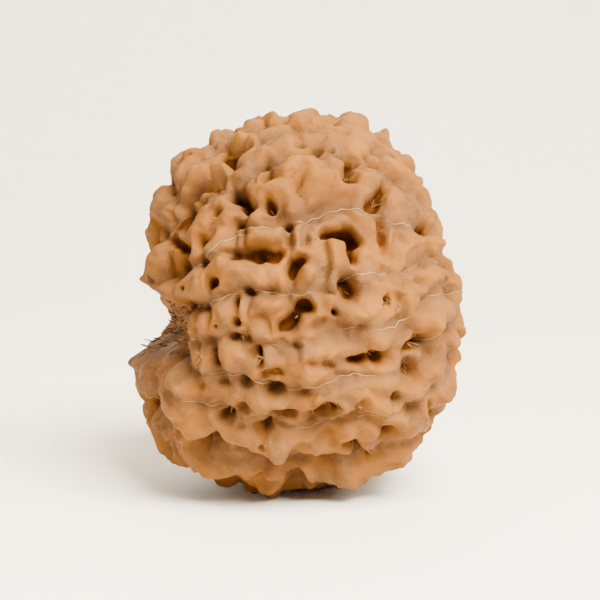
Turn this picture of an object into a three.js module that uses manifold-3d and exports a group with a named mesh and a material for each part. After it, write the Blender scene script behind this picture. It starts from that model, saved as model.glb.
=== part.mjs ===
// Rudraksha seed, one hard woody stone, all sizes in millimetres, +Z up
// The stone lies on its side: +X runs from the stem end to the tip, and it rests on a small flat spot
import * as THREE from 'three';
import { mergeVertices } from 'three/addons/utils/BufferGeometryUtils.js';
import Module from 'manifold-3d';

const wasm = await Module();
wasm.setup();

// Body of the stone, a squat ball a little shorter along the stem axis than across it
const HALF_LENGTH = 13.7;
const HALF_WIDTH = 16.9;
const SQUARENESS_ABOVE = 2.05;
const SQUARENESS_BELOW = 2.9;
const SQUARENESS_BLEND = 0.8;
const CENTRE_HEIGHT = 16.9;
const STEM_AXIS_TILT = 7;

// Stem end: a notch runs across it from front to back, with a deeper bowl in its middle
const NOTCH_LEVEL = 10.8;
const NOTCH_HALF_WIDTHS = [1.7, 3.9];
const STEM_BOWL = [2.6, 0.8, 3.2];

// Shallow dimple at the tip: depth, floor radius, rim radius
const TIP_DIMPLE = [1.2, 0.4, 4.0];

// Measuring direction of the front landmarks: degrees round from -Y, degrees up, distance
const VIEW_AZIMUTH = -9;
const VIEW_ELEVATION = 8;
const VIEW_DISTANCE = 215;

// Lines of sight are followed from this far in front of the centre to this far behind it, in steps
const SIGHT_RANGE = [-20, 4];
const SIGHT_STEP = 0.05;

// Broad swellings and flattenings of the body: across, up, towards the viewer, spread, height
const SWELLS = [
  [-14.0, -6.5, 0, 0.42, 1.8],
  [-12.5, 10.5, 0, 0.3, 1.1],
  [11.0, -12.0, 0, 0.4, -1.0],
  [14.0, 5.0, 0, 0.5, -0.6],
  [0, 17.0, 0, 0.4, -0.8],
  [-5.5, -16.0, 0, 0.2, -0.8],
  [-7.5, -14.0, 6.0, 0.28, 0.5],
  [6.6, 15.6, 0, 0.2, 0.7],
  [12.3, 11.0, 0, 0.25, -0.5],
];

// Seams that run from the stem end to the tip, as degrees round the stem axis from the front:
// near the stem, half way, near the tip
const FRONT_SEAMS = [
  [-26, -32, -29],
  [-14, -17, -12],
  [-1, -3, 2],
  [14, 12, 17],
  [32, 34, 31],
  [59, 55, 52],
  [74, 70, 63],
];
const SEAM_MIDDLE = 90;
const SEAM_BEND_REACH = 35;
const SEAM_SWAY = 1.6;
const SEAM_SWAY_RATE = 0.19;

// Seams of the back, shared out evenly: number, unevenness of the shares, bends at the two ends
const BACK_SEAM_COUNT = 14;
const BACK_SEAM_SHIFT = 0.2;
const BACK_SEAM_BENDS = [3, 4];

// Seams lie in valleys whose sides run in and out as lobes, and the faces between them swell;
// all of it fades out between these distances from the stem axis
const FACE_SWELL = 0.35;
const VALLEY_DEPTH = 0.45;
const VALLEY_REACH = [0.3, 0.55];
const VALLEY_FLOOR = 0.2;
const VALLEY_SIDE = 0.8;
const LEAST_REACH = 0.05;
const SEAM_FADE = [5.0, 11.0];

// Round pits of the front: across, up from the centre as measured, width, depth
const ROUND_PITS = [
  [-9.1, 8.9, 0.8, 1.4], [-7.6, 7.6, 0.7, 1.2], [-3.9, 12.0, 0.7, 1.0], [-3.6, 14.0, 0.4, 0.5],
  [0.2, 14.0, 0.6, 0.7], [-0.5, 13.9, 0.4, 0.5], [1.4, 13.4, 0.8, 1.2], [2.4, 13.2, 0.5, 0.8],
  [-3.0, 10.8, 1.0, 1.5], [-2.8, 8.5, 0.9, 1.8], [-2.3, 8.4, 2.0, 0.5], [-0.2, 10.2, 0.8, 0.9],
  [6.6, 12.8, 0.8, 1.1], [7.3, 13.1, 0.4, 0.5], [7.9, 10.7, 0.7, 1.0], [-8.6, 5.2, 0.8, 1.2],
  [-5.7, 6.6, 0.8, 1.3], [-4.9, 5.9, 0.8, 0.6], [-8.5, 3.3, 1.0, 1.2], [-7.5, 1.6, 1.1, 2.0],
  [-11.2, 1.4, 0.3, 0.6], [-10.2, 1.4, 0.4, 0.7], [-3.8, 3.5, 1.0, 0.8], [-4.6, 0.6, 0.7, 1.0],
  [-5.9, -0.4, 0.8, 1.2], [-5.7, -1.8, 0.8, 1.2], [-7.7, -2.2, 0.3, 0.5], [-8.3, -1.1, 1.0, 0.5],
  [0.9, 5.5, 0.6, 0.6], [3.1, -1.3, 0.6, 1.2], [7.9, 4.3, 1.2, 0.8], [11.2, 3.4, 0.4, 0.5],
  [7.8, -0.2, 0.9, 0.9], [9.3, -0.3, 1.6, 0.7], [10.6, 1.3, 1.8, 0.6], [13.3, 1.4, 0.5, 0.6],
  [12.6, 4.0, 1.2, 1.2], [-12.8, 6.4, 0.8, 0.9], [-8.3, -4.6, 0.4, 0.6], [-7.7, -5.2, 0.7, 1.0],
  [-7.4, -4.1, 0.3, 0.6], [-11.2, -6.2, 0.3, 0.4], [-7.0, -7.7, 0.8, 0.5], [-5.0, -7.7, 0.8, 1.0],
  [-6.7, -10.5, 1.0, 1.7], [-4.3, -5.1, 1.2, 0.5], [-2.3, -8.1, 0.9, 1.4], [-0.5, -4.5, 0.9, 0.4],
  [2.9, -9.7, 1.2, 1.8], [0.4, -8.5, 0.9, 0.4], [-3.4, -12.9, 0.5, 0.7], [10.3, -6.9, 1.3, 1.0],
  [8.6, -8.8, 0.8, 1.2], [7.3, -10.0, 0.3, 0.4], [8.0, -12.1, 1.2, 1.5], [-9.1, -13.1, 0.9, 1.5],
  [-5.4, -13.3, 1.0, 1.3], [9.4, -13.8, 0.5, 0.8], [2.7, -12.6, 1.6, 0.9], [2.3, -14.9, 1.6, 1.0],
  [0.0, -13.5, 1.4, 0.7], [-0.2, -16.0, 1.2, 1.0], [-3.4, -16.0, 1.2, 0.9], [-6.5, -16.1, 1.4, 0.9],
];

// Slots of the front: across, up at one end, across, up at the other end, width, depth
const SLOTS = [
  [-6.1, 9.8, -4.7, 8.3, 0.9, 2.0], [4.7, 12.6, 4.1, 10.4, 0.7, 1.6], [6.5, 8.5, 7.4, 9.8, 0.9, 1.8],
  [-11.2, 7.4, -10.1, 7.4, 1.5, 1.4], [-12.0, 5.5, -9.9, 4.6, 0.8, 1.3],
  [-12.2, 2.9, -11.2, 2.9, 1.8, 0.9], [-5.8, 4.1, -2.4, 4.0, 1.4, 1.5],
  [-10.6, -0.2, -9.0, -0.6, 1.0, 0.9], [-1.2, 6.6, -1.2, 5.6, 0.8, 1.4],
  [2.3, 6.0, 3.6, 6.0, 0.9, 1.4], [3.6, 6.0, 4.7, 5.3, 1.1, 2.2], [4.7, 5.3, 4.5, 4.0, 0.9, 1.5],
  [-0.6, 2.6, 0.1, 3.5, 1.0, 1.9], [0.3, -0.7, -1.2, -2.5, 1.1, 1.9], [4.0, 1.3, 4.6, 0.4, 0.8, 1.8],
  [7.1, 6.8, 7.5, 5.4, 1.1, 1.3], [9.0, 5.2, 9.0, 3.4, 1.2, 0.7], [11.2, 6.5, 12.3, 5.8, 1.2, 1.8],
  [-5.8, -3.3, -5.0, -3.3, 0.6, 0.8], [-10.3, -4.9, -9.5, -5.0, 0.7, 0.9],
  [-13.0, -10.1, -11.7, -10.5, 0.7, 1.5], [-5.6, -9.6, -4.9, -9.6, 0.8, 0.9],
  [-3.6, -4.7, -3.6, -5.7, 0.6, 1.1], [-3.1, -6.8, -2.0, -6.4, 0.9, 1.0],
  [2.0, -5.0, 3.0, -5.8, 0.6, 0.4], [4.7, -5.5, 5.3, -5.5, 0.8, 1.7], [6.4, -5.2, 7.0, -5.1, 1.0, 1.9],
  [1.1, -10.5, 1.8, -10.5, 0.9, 1.2], [-2.3, -10.3, -0.5, -10.2, 0.8, 1.1],
  [4.8, -10.4, 5.5, -9.3, 1.0, 0.8], [-3.3, -11.5, -3.2, -11.6, 0.9, 1.5],
  [10.0, -4.3, 10.8, -3.5, 1.1, 1.6], [11.5, -9.3, 11.7, -10.2, 0.5, 0.8],
  [-8.1, -12.7, -7.2, -12.7, 1.0, 1.6], [-5.0, -13.6, -3.6, -14.6, 0.8, 0.7],
  [4.8, -13.2, 6.4, -14.4, 0.8, 1.5], [-8.4, 12.2, -8.3, 11.3, 0.3, 0.7],
  [-13.4, -6.6, -13.3, -9.2, 0.9, 1.0], [-9.9, -6.2, -9.0, -7.4, 0.8, 0.6],
  [-8.0, 13.5, -6.2, 13.5, 1.3, 1.0], [-7.0, 13.2, -5.8, 11.9, 0.8, 0.8],
  [-10.8, 8.9, -9.4, 10.0, 0.8, 1.0], [-9.0, 10.3, -7.2, 10.8, 0.6, 0.7],
];

// Knobs and tongues of the front: across, up at one end, across, up at the other end, width, height
const KNOBS = [
  [-7.9, 11.9, -6.9, 11.9, 1.4, 0.7], [-7.5, 15.5, -7.5, 15.2, 1.8, 0.9],
  [-4.8, 15.8, -4.4, 15.8, 2.0, 0.6], [-2.4, 16.2, -2.4, 15.9, 1.6, 0.8],
  [0.9, 17.4, -0.4, 15.9, 1.8, 0.9], [2.3, 16.8, 5.6, 16.4, 2.2, 0.8], [7.0, 15.2, 7.2, 15.0, 1.8, 0.6],
  [8.6, 14.0, 8.8, 13.8, 1.8, 0.5], [10.1, 13.2, 10.2, 13.0, 1.6, 0.6],
  [10.2, 11.3, 10.3, 11.1, 1.4, 0.5], [11.7, 9.2, 11.8, 8.9, 2.0, 0.6],
  [13.0, 7.4, 13.1, 7.1, 2.0, 0.5], [-3.4, 11.5, -0.3, 12.3, 1.4, 0.7],
  [0.5, 12.2, 4.4, 12.1, 1.4, 0.6], [-0.3, 13.2, -0.3, 13.0, 0.8, 0.4],
  [-4.5, 6.1, -1.6, 6.3, 1.6, 1.0], [-0.1, 6.9, -0.3, 4.1, 1.0, 0.6], [3.5, 4.7, 3.2, 1.5, 1.6, 1.1],
  [0.4, 2.1, 0.6, 2.1, 1.5, 0.7], [-3.8, -0.3, -2.4, -0.5, 1.4, 0.7], [-8.0, 2.2, -4.5, 2.0, 2.4, 0.4],
  [10.4, 7.9, 10.4, 7.7, 1.5, 0.6], [11.9, 4.9, 12.4, 5.0, 1.6, 0.6], [0.6, -4.6, 2.4, -4.6, 1.6, 0.7],
  [-11.7, -7.2, -11.2, -8.9, 4.2, 1.3], [-14.2, -7.7, -14.1, -7.9, 1.4, 0.5],
  [-13.5, -10.4, -13.4, -10.5, 1.4, 0.5], [-13.3, -4.2, -13.1, -4.2, 1.2, 0.5],
  [-4.6, -10.6, -4.3, -11.2, 1.6, 0.8], [-10.3, -11.3, -9.2, -12.2, 2.0, 0.7],
  [-5.9, -14.9, -5.7, -15.0, 2.2, 0.6], [-1.9, -13.4, -1.7, -14.3, 1.4, 0.7],
  [-2.4, -15.6, -2.4, -16.4, 1.4, 0.6], [0.8, -15.4, 0.9, -16.3, 1.3, 0.7],
  [3.6, -15.4, 3.7, -16.2, 1.3, 0.4], [14.4, -1.3, 14.4, -1.5, 1.6, 0.3],
  [15.0, -3.3, 15.0, -3.6, 1.6, 0.8], [13.9, -8.2, 13.8, -8.5, 1.8, 0.5],
  [13.2, -9.3, 13.1, -9.5, 1.5, 0.5], [11.8, -12.2, 11.6, -12.4, 1.6, 0.4],
  [10.5, -13.4, 10.4, -13.5, 1.5, 0.3], [-4.7, 14.4, -4.5, 14.4, 1.6, 0.4],
];

// Share of a pit's depth, and of a knob's height, at which its measured place was read
const PIT_READ_AT = 0.45;
const KNOB_READ_AT = 0.4;

// Least share of its true width at which a slanting pit was still measured
const LEAST_FACING = 0.3;

// Hidden sides: the same kinds of pits and knobs, drawn from a fixed seed
const DRAW_SEED = 20817;
const ROW_STEP = 3.3;
const MEAN_RADIUS = 15;
const ROW_STARTS = [24, 30];
const ROW_END = 152;
const ROW_SHARES = [0.8, 1.2];

// Drawn pits: places between two seams, slant along the seams, sizes, share that is round, share at
// full depth
const PIT_PLACES = [0.25, 0.75];
const PIT_END_PLACES = [0.3, 0.7];
const PIT_SLANT = 7;
const PIT_WIDTHS = [0.9, 1.8];
const PIT_DEPTHS = [0.9, 1.9];
const ROUND_SHARE = 0.55;
const DEEP_SHARE = 0.85;

// Drawn knobs: places between two seams, slant along the seams, sizes
const KNOB_PLACES = [-0.1, 0.2];
const KNOB_END_PLACES = [0.2, 0.5];
const KNOB_SLANT = 6;
const KNOB_WIDTHS = [1.8, 2.9];
const KNOB_HEIGHTS = [0.3, 0.8];

// Edge of the measured front, as a share of facing the viewer, and the drawn knobs that fill it:
// distance kept from measured marks and share of the height
const FRONT_EDGE = 0.32;
const FILL_DISTANCE = 1.3;
const FILL_SHARE = 0.75;

// Broad unevenness, creased lumps, the bend of every outline and the lobes of the valleys:
// number of waves, shortest and longest wave, size; creases are rounded to a share of the lumps
const WAVE_COUNT = 24;
const WAVE_LENGTHS = [3.5, 8.0];
const WAVE_HEIGHT = 0.2;
const RIPPLE_COUNT = 24;
const RIPPLE_LENGTHS = [2.8, 5.0];
const RIPPLE_HEIGHT = 0.34;
const CREASE_WIDTH = 0.22;
const MEAN_RISE = 0.8;
const BEND_COUNT = 14;
const BEND_LENGTHS = [1.8, 4.0];
const BEND_SIZE = 0.16;
const LOBE_COUNT = 16;
const LOBE_LENGTHS = [2.4, 4.2];

// Depth that a crowd of pits tends to, the sum at which it is well on the way, and the lift of knobs
const DEEPEST = 4.2;
const DEEPENING = 2.4;
const KNOB_LIFT = 1.1;

// Profiles: a pit's wall and its soft rim as share, steepness and power; a knob's edge and roundness
const PIT_WALL = [0.85, 0.8, 2.6];
const PIT_RIM = [0.15, 0.22, 2.0];
const PIT_REACH = 6;
const KNOB_EDGE = 1.2;
const KNOB_ROUNDNESS = 2.6;

// Flat spot underneath: radius in which the relief fades out, and the low-relief radius inside it
const FLAT_SPOT_RADII = [2.6, 5.5];
const FLAT_SPOT_HEIGHT = 0.25;

// Skin of triangles: rows to a side of the starting ball, number kept, narrowest pit or knob drawn
const START_DETAIL = 62;
const TRIANGLE_BUDGET = 11600;
const FINEST_WIDTH = 1.0;

// Limits of the thinning: turn of a triangle, its lift off the centre, flatness, weight of shortness
const LEAST_AGREEMENT = 0.3;
const LEAST_LIFT = 0.03;
const FLATNESS = 1e-4;
const SHORTNESS_WEIGHT = 1e-5;

const rad = THREE.MathUtils.degToRad;
const axis = new THREE.Vector3(Math.cos(rad(STEM_AXIS_TILT)), 0, Math.sin(rad(STEM_AXIS_TILT)));
const front = new THREE.Vector3(0, -1, 0);
const upper = new THREE.Vector3().crossVectors(front, axis);

const azimuth = rad(VIEW_AZIMUTH);
const elevation = rad(VIEW_ELEVATION);
const toViewer = new THREE.Vector3(
  Math.sin(azimuth) * Math.cos(elevation),
  -Math.cos(azimuth) * Math.cos(elevation),
  Math.sin(elevation),
);
const viewRight = new THREE.Vector3(Math.cos(azimuth), Math.sin(azimuth), 0);
const viewUp = new THREE.Vector3().crossVectors(toViewer, viewRight);

// Repeatable draws between 0 and 1
let drawState = DRAW_SEED;
function draw() {
  drawState = (Math.imul(drawState, 1664525) + 1013904223) >>> 0;
  return drawState / 4294967296;
}

function between(low, high) {
  return low + (high - low) * draw();
}

function smooth(low, high, value) {
  const t = Math.min(1, Math.max(0, (value - low) / (high - low)));
  return t * t * (3 - 2 * t);
}

const swells = SWELLS.map(([across, up, near, spread, height]) => {
  const direction = viewRight.clone().multiplyScalar(across);
  direction.addScaledVector(viewUp, up).addScaledVector(toViewer, near).normalize();
  return { direction, spread, height };
});

// Distance from the centre to the plain body along a unit direction
function bodyRadius(u) {
  const height = smooth(-SQUARENESS_BLEND, SQUARENESS_BLEND, u.z);
  const n = THREE.MathUtils.lerp(SQUARENESS_BELOW, SQUARENESS_ABOVE, height);
  const across = Math.hypot(u.y, u.z);
  let r = ((Math.abs(u.x) / HALF_LENGTH) ** n + (across / HALF_WIDTH) ** n) ** (-1 / n);
  for (const swell of swells) {
    r += swell.height * Math.exp(-u.distanceToSquared(swell.direction) / swell.spread ** 2);
  }
  const along = u.dot(axis);
  const off = Math.sqrt(Math.max(0, 1 - along * along));
  if (along < 0) {
    const side = Math.abs(r * u.dot(upper));
    const notched = Math.min(r, NOTCH_LEVEL / -along);
    r += (notched - r) * (1 - smooth(...NOTCH_HALF_WIDTHS, side));
  }
  const [depth, floor, rim] = along < 0 ? STEM_BOWL : TIP_DIMPLE;
  return r - depth * (1 - smooth(floor, rim, r * off));
}

// Direction of the place on the body sunk by `under` that is seen at a measured point, or of the
// nearest place on its edge
function directionSeen(across, up, under) {
  const eye = toViewer.clone().multiplyScalar(VIEW_DISTANCE);
  const aim = viewRight.clone().multiplyScalar(across).addScaledVector(viewUp, up);
  const ray = aim.sub(eye).normalize();
  let best = null;
  let least = Infinity;
  const [nearest, farthest] = SIGHT_RANGE.map((offset) => VIEW_DISTANCE + offset);
  for (let t = nearest; t < farthest; t += SIGHT_STEP) {
    const p = eye.clone().addScaledVector(ray, t);
    const gap = p.length() - bodyRadius(p.clone().normalize()) + under;
    if (gap < least) {
      least = gap;
      best = p;
    }
    if (gap < 0) {
      break;
    }
  }
  return best.normalize();
}

// Place on the plain body for a measured mark; marks near the edge of the view were read at its rim
function placeSeen(across, up, under) {
  const facing = directionSeen(across, up, 0).dot(toViewer);
  const u = directionSeen(across, up, under * Math.max(0, facing));
  return u.clone().multiplyScalar(bodyRadius(u));
}

// Place on the plain body at an angle from the stem end and an angle round the stem axis
function placeAt(fromStem, round) {
  const s = Math.sin(rad(fromStem));
  const u = axis.clone().multiplyScalar(-Math.cos(rad(fromStem)));
  u.addScaledVector(front, s * Math.cos(rad(round)));
  u.addScaledVector(upper, s * Math.sin(rad(round)));
  return u.clone().multiplyScalar(bodyRadius(u));
}

// Seams: the measured ones of the front, then the rest shared out over the back
const seams = FRONT_SEAMS.map((angles) => ({ angles, phase: between(0, 2 * Math.PI) }));
const firstBack = FRONT_SEAMS.at(-1)[1];
const backSpan = 360 + FRONT_SEAMS[0][1] - firstBack;
for (let i = 1; i <= BACK_SEAM_COUNT; i += 1) {
  const shift = between(-BACK_SEAM_SHIFT, BACK_SEAM_SHIFT);
  const middle = firstBack + (backSpan * (i + shift)) / (BACK_SEAM_COUNT + 1);
  const [near, far] = BACK_SEAM_BENDS.map((bend) => middle + between(-bend, bend));
  const angles = [near, middle, far];
  seams.push({ angles, phase: between(0, 2 * Math.PI) });
}

function seamAngle(seam, fromStem) {
  const [near, half, far] = seam.angles;
  const t = (fromStem - SEAM_MIDDLE) / SEAM_BEND_REACH;
  const bend = Math.min(1, t * t);
  const end = t < 0 ? near : far;
  return half + (end - half) * bend + SEAM_SWAY * Math.sin(fromStem * SEAM_SWAY_RATE + seam.phase);
}

// Pits and knobs as round-ended strokes over the body: two ends, half width, depth or height
const pits = [];
const knobs = [];
function addStroke(list, a, b, width, size) {
  list.push({ a, run: b.clone().sub(a), half: Math.max(width, FINEST_WIDTH) / 2, size });
}

const toPoint = new THREE.Vector3();
function strokeDistance(stroke, p) {
  toPoint.subVectors(p, stroke.a);
  const length2 = stroke.run.lengthSq();
  const t = length2 > 0 ? Math.min(1, Math.max(0, toPoint.dot(stroke.run) / length2)) : 0;
  return toPoint.addScaledVector(stroke.run, -t).length();
}

// Pits seen at a slant look narrower than they are
function addSeenPit(x1, z1, x2, z2, width, depth) {
  const a = placeSeen(x1, z1, PIT_READ_AT * depth);
  const b = placeSeen(x2, z2, PIT_READ_AT * depth);
  const facing = Math.max(LEAST_FACING, a.dot(toViewer) / a.length());
  addStroke(pits, a, b, width / Math.sqrt(facing), depth);
}

for (const [x, z, width, depth] of ROUND_PITS) {
  addSeenPit(x, z, x, z, width, depth);
}
for (const slot of SLOTS) {
  addSeenPit(...slot);
}
for (const [x1, z1, x2, z2, width, height] of KNOBS) {
  const under = -KNOB_READ_AT * height;
  addStroke(knobs, placeSeen(x1, z1, under), placeSeen(x2, z2, under), width, height);
}

function hidden(p) {
  return p.clone().normalize().dot(toViewer) < FRONT_EDGE;
}

// Drawn knobs also fill the front where no measured pit or knob is near, lower than elsewhere
const measured = [...pits, ...knobs];
function free(p) {
  return measured.every((stroke) => strokeDistance(stroke, p) > FILL_DISTANCE);
}

for (let k = 0; k < seams.length; k += 1) {
  const next = seams[(k + 1) % seams.length];
  let turn = next.angles[1] - seams[k].angles[1];
  turn = turn < 0 ? turn + 360 : turn;
  const step = THREE.MathUtils.radToDeg(ROW_STEP / MEAN_RADIUS);
  let fromStem = between(...ROW_STARTS);
  while (fromStem < ROW_END) {
    const start = seamAngle(seams[k], fromStem);
    const share = between(...PIT_PLACES);
    const a = placeAt(fromStem, start + turn * share);
    const slant = between(-PIT_SLANT, PIT_SLANT);
    const b = placeAt(fromStem + slant, start + turn * between(...PIT_END_PLACES));
    const kind = draw();
    const width = between(...PIT_WIDTHS);
    const depth = between(...PIT_DEPTHS);
    const half = fromStem + step / 2;
    const c = placeAt(half, start + turn * between(...KNOB_PLACES));
    const lean = between(-KNOB_SLANT, KNOB_SLANT);
    const d = placeAt(half + lean, start + turn * between(...KNOB_END_PLACES));
    const knobWidth = between(...KNOB_WIDTHS);
    const knobHeight = between(...KNOB_HEIGHTS);
    if (hidden(a)) {
      addStroke(pits, a, kind < ROUND_SHARE ? a : b, width, kind < DEEP_SHARE ? depth : depth / 2);
    }
    if (hidden(c)) {
      addStroke(knobs, c, d, knobWidth, knobHeight);
    } else if (free(c) && free(d)) {
      addStroke(knobs, c, d, knobWidth, knobHeight * FILL_SHARE);
    }
    fromStem += step * between(...ROW_SHARES);
  }
}

function waveSet(count, lengths) {
  const waves = [];
  for (let i = 0; i < count; i += 1) {
    const up = between(-1, 1);
    const turn = between(0, 2 * Math.PI);
    const flat = Math.sqrt(1 - up * up);
    const k = (2 * Math.PI) / between(...lengths);
    const phase = between(0, 2 * Math.PI);
    const direction = new THREE.Vector3(flat * Math.cos(turn), flat * Math.sin(turn), up);
    waves.push({ k: direction.multiplyScalar(k), phase });
  }
  return waves;
}

function waveSum(waves, p) {
  let total = 0;
  for (const wave of waves) {
    total += Math.sin(wave.k.dot(p) + wave.phase);
  }
  return total / Math.sqrt(waves.length / 2);
}

const waves = waveSet(WAVE_COUNT, WAVE_LENGTHS);
const ripples = waveSet(RIPPLE_COUNT, RIPPLE_LENGTHS);
const bends = [0, 1, 2].map(() => waveSet(BEND_COUNT, BEND_LENGTHS));
const lobes = waveSet(LOBE_COUNT, LOBE_LENGTHS);

function falloff([share, steepness, power], t) {
  return share * Math.exp(-steepness * t ** power);
}

// Height of the relief over the plain body at a place on it
function relief(u, p) {
  const fromStem = THREE.MathUtils.radToDeg(Math.acos(Math.min(1, Math.max(-1, -u.dot(axis)))));
  const round = THREE.MathUtils.radToDeg(Math.atan2(u.dot(upper), u.dot(front)));
  const ringRadius = p.length() * Math.sin(rad(fromStem));
  let before = 360;
  let after = 360;
  for (const seam of seams) {
    const gap = (((seamAngle(seam, fromStem) - round) % 360) + 360) % 360;
    after = Math.min(after, gap);
    before = Math.min(before, 360 - gap);
  }
  const share = before / (before + after);
  const toSeam = rad(Math.min(before, after)) * ringRadius;
  const ends = smooth(...SEAM_FADE, ringRadius);
  const reach = Math.max(VALLEY_REACH[0] + VALLEY_REACH[1] * waveSum(lobes, p), LEAST_REACH);
  const dip = 1 - smooth(reach - VALLEY_FLOOR, reach + VALLEY_SIDE, toSeam);
  let height = ends * (FACE_SWELL * (4 * share * (1 - share) - 0.5) - VALLEY_DEPTH * dip);
  const bent = new THREE.Vector3(...bends.map((set) => waveSum(set, p)));
  bent.multiplyScalar(BEND_SIZE).add(p);
  let raised = 0;
  for (const knob of knobs) {
    const t = strokeDistance(knob, bent) / knob.half;
    raised = Math.max(raised, knob.size * (1 - (t / KNOB_EDGE) ** KNOB_ROUNDNESS));
  }
  const lumps = Math.hypot(waveSum(ripples, bent), CREASE_WIDTH) - MEAN_RISE;
  height += WAVE_HEIGHT * waveSum(waves, p) + RIPPLE_HEIGHT * lumps * Math.max(0, 1 - raised);
  let carved = 0;
  for (const pit of pits) {
    const t = strokeDistance(pit, bent) / pit.half;
    if (t < PIT_REACH) {
      carved += pit.size * (falloff(PIT_WALL, t) + falloff(PIT_RIM, t));
    }
  }
  return height + KNOB_LIFT * raised - DEEPEST * (1 - Math.exp(-carved / DEEPENING));
}

function surface(u) {
  const p = u.clone().multiplyScalar(bodyRadius(u));
  const down = p.z < 0 ? Math.hypot(p.x, p.y) : Infinity;
  const fade = smooth(...FLAT_SPOT_RADII, down);
  const height = relief(u, p) * fade + FLAT_SPOT_HEIGHT * (1 - fade);
  return u.clone().multiplyScalar(p.length() + height);
}

// Starting ball, every corner drawn out to the surface along its own direction
const ball = new THREE.IcosahedronGeometry(1, START_DETAIL);
ball.deleteAttribute('normal');
ball.deleteAttribute('uv');
const start = mergeVertices(ball, 1e-5);
const points = [];
for (let i = 0; i < start.attributes.position.count; i += 1) {
  const u = new THREE.Vector3().fromBufferAttribute(start.attributes.position, i);
  points.push(surface(u.normalize()));
}
const triangles = [];
const around = points.map(() => new Set());
for (let i = 0; i < start.index.count; i += 3) {
  const t = [start.index.getX(i), start.index.getX(i + 1), start.index.getX(i + 2)];
  t.forEach((corner) => around[corner].add(triangles.length));
  triangles.push(t);
}

// Thinning: edges are closed up, the least noticed first, by summed squared distance to the old planes
const one = new THREE.Vector3();
const two = new THREE.Vector3();
function normalOf(a, b, c) {
  one.subVectors(b, a);
  two.subVectors(c, a);
  return new THREE.Vector3().crossVectors(one, two);
}

const errors = points.map(() => new Float64Array(10));
for (const t of triangles) {
  const normal = normalOf(...t.map((i) => points[i]));
  const area = normal.length();
  normal.normalize();
  const { x, y, z } = normal;
  const d = -normal.dot(points[t[0]]);
  const terms = [x * x, x * y, x * z, x * d, y * y, y * z, y * d, z * z, z * d, d * d];
  for (const corner of t) {
    terms.forEach((term, i) => {
      errors[corner][i] += term * area;
    });
  }
}

function errorAt(q, { x, y, z }) {
  return q[0] * x * x + 2 * (q[1] * x * y + q[2] * x * z + q[3] * x) + q[4] * y * y
    + 2 * (q[5] * y * z + q[6] * y) + q[7] * z * z + 2 * q[8] * z + q[9];
}

function closing(a, b) {
  const q = errors[a].map((value, i) => value + errors[b][i]);
  const middle = points[a].clone().lerp(points[b], 0.5);
  const places = [points[a], points[b], middle];
  const matrix = new THREE.Matrix3().set(q[0], q[1], q[2], q[1], q[4], q[5], q[2], q[5], q[7]);
  const size = q[0] + q[4] + q[7];
  if (Math.abs(matrix.determinant()) > FLATNESS * size ** 3) {
    const best = new THREE.Vector3(-q[3], -q[6], -q[8]).applyMatrix3(matrix.invert());
    if (best.distanceTo(middle) < points[a].distanceTo(points[b])) {
      places.push(best);
    }
  }
  const costs = places.map((place) => errorAt(q, place));
  const pick = costs.indexOf(Math.min(...costs));
  const shortness = points[a].distanceToSquared(points[b]);
  return { a, b, place: places[pick].clone(), cost: costs[pick] + SHORTNESS_WEIGHT * shortness, q };
}

const queue = [];
function push(item) {
  let i = queue.length;
  queue.push(item);
  while (i > 0) {
    const parent = (i - 1) >> 1;
    if (queue[parent].cost <= item.cost) {
      break;
    }
    queue[i] = queue[parent];
    i = parent;
  }
  queue[i] = item;
}

function pop() {
  const top = queue[0];
  const item = queue.pop();
  let i = 0;
  while (2 * i + 1 < queue.length) {
    let child = 2 * i + 1;
    if (child + 1 < queue.length && queue[child + 1].cost < queue[child].cost) {
      child += 1;
    }
    if (queue[child].cost >= item.cost) {
      break;
    }
    queue[i] = queue[child];
    i = child;
  }
  if (queue.length > 0) {
    queue[i] = item;
  }
  return top;
}

const version = points.map(() => 0);
function offer(a, b) {
  const item = closing(a, b);
  item.stamp = version[a] + version[b];
  push(item);
}

function neighbours(a) {
  const found = new Set();
  around[a].forEach((t) => triangles[t].forEach((corner) => found.add(corner)));
  found.delete(a);
  return found;
}

// A closing is refused if it would fold the skin or turn a triangle away from the centre
function keepsForm(item, corner, other) {
  for (const n of around[corner]) {
    const t = triangles[n];
    if (!t.includes(other)) {
      const before = normalOf(...t.map((i) => points[i]));
      const moved = t.map((i) => (i === corner ? item.place : points[i]));
      const after = normalOf(...moved);
      const agreement = after.dot(before) / (after.length() * before.length());
      const lift = after.dot(moved[0]) / (after.length() * moved[0].length());
      if (agreement < LEAST_AGREEMENT || lift < LEAST_LIFT) {
        return false;
      }
    }
  }
  return true;
}

points.forEach((_, a) => neighbours(a).forEach((b) => b > a && offer(a, b)));
let left = triangles.length;
while (left > TRIANGLE_BUDGET) {
  const item = pop();
  const { a, b } = item;
  const live = around[a].size > 0 && around[b].size > 0 && item.stamp === version[a] + version[b];
  if (live) {
    const shared = [...neighbours(a)].filter((i) => neighbours(b).has(i));
    if (shared.length === 2 && keepsForm(item, a, b) && keepsForm(item, b, a)) {
      for (const n of [...around[b]]) {
        const t = triangles[n];
        if (t.includes(a)) {
          t.forEach((corner) => around[corner].delete(n));
          triangles[n] = null;
          left -= 1;
        } else {
          t[t.indexOf(b)] = a;
          around[a].add(n);
        }
      }
      around[b].clear();
      points[a] = item.place;
      errors[a] = item.q;
      version[a] += 1;
      neighbours(a).forEach((c) => offer(a, c));
    }
  }
}

const kept = new Map();
const corners = [];
const faces = [];
for (const t of triangles.filter(Boolean)) {
  for (const corner of t) {
    if (!kept.has(corner)) {
      kept.set(corner, kept.size);
      corners.push(points[corner].x, points[corner].y, points[corner].z + CENTRE_HEIGHT);
    }
    faces.push(kept.get(corner));
  }
}

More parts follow.
